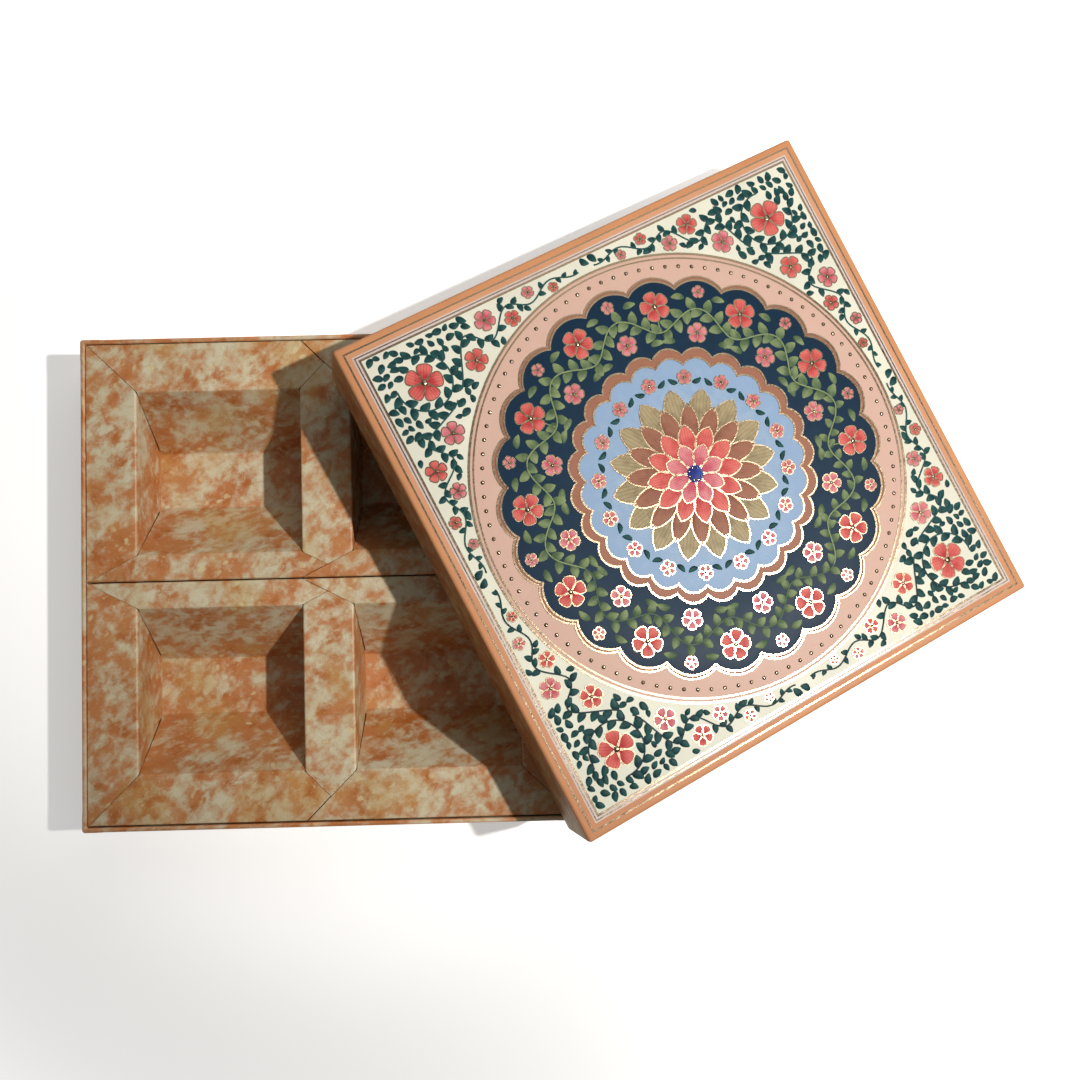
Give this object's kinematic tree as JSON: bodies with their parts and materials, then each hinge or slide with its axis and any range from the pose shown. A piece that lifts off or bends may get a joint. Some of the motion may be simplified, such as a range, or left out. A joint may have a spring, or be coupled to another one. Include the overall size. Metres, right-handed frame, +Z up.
{
  "type": "dried fruit gift box",
  "caption": "Square wrapped-board gift box with a folded card insert of sloped wells and a full-depth printed lift-off lid leaning on the base.",
  "frame": {"origin": "middle of the base's underside, on the surface that the box stands on", "axes": "+Z up, +X from the base towards the lid that leans on it, +Y towards the base's back row of wells"},
  "size_m": [0.4386, 0.3171, 0.092],
  "materials": {
    "greyboard": "matt grey board",
    "stay_paper": "matt kraft tape",
    "mottled_paper": "satin paper mottled cream and terracotta",
    "plain_paper": "matt cream paper",
    "lid_paper": "satin printed paper with raised foil lines"
  },
  "bodies": {
    "base": {"base_floor_board": "greyboard", "base_wall_board_right": "greyboard", "base_wall_board_back": "greyboard", "base_wall_board_left": "greyboard", "base_wall_board_front": "greyboard", "base_corner_stay_back_right": "stay_paper", "base_corner_stay_back_left": "stay_paper", "base_corner_stay_front_left": "stay_paper", "base_corner_stay_front_right": "stay_paper", "base_wrap": "mottled_paper", "base_bottom_paper": "plain_paper", "base_floor_lining": "plain_paper", "insert_back_trough": "mottled_paper", "insert_back_saddle_left": "mottled_paper", "insert_back_saddle_middle": "mottled_paper", "insert_back_saddle_right": "mottled_paper", "insert_front_trough": "mottled_paper", "insert_front_saddle_left": "mottled_paper", "insert_front_saddle_middle": "mottled_paper", "insert_front_saddle_right": "mottled_paper"},
    "lid": {"lid_top_board": "greyboard", "lid_wall_board_right": "greyboard", "lid_wall_board_back": "greyboard", "lid_wall_board_left": "greyboard", "lid_wall_board_front": "greyboard", "lid_corner_stay_back_right": "stay_paper", "lid_corner_stay_back_left": "stay_paper", "lid_corner_stay_front_left": "stay_paper", "lid_corner_stay_front_right": "stay_paper", "lid_wrap": "lid_paper", "lid_lining": "plain_paper"}
  },
  "joints": [
    {"name": "lid_lift", "type": "slide", "parent": "base", "child": "lid", "axis": [0, 0, 1], "range_m": [0, 0.15]}
  ]
}
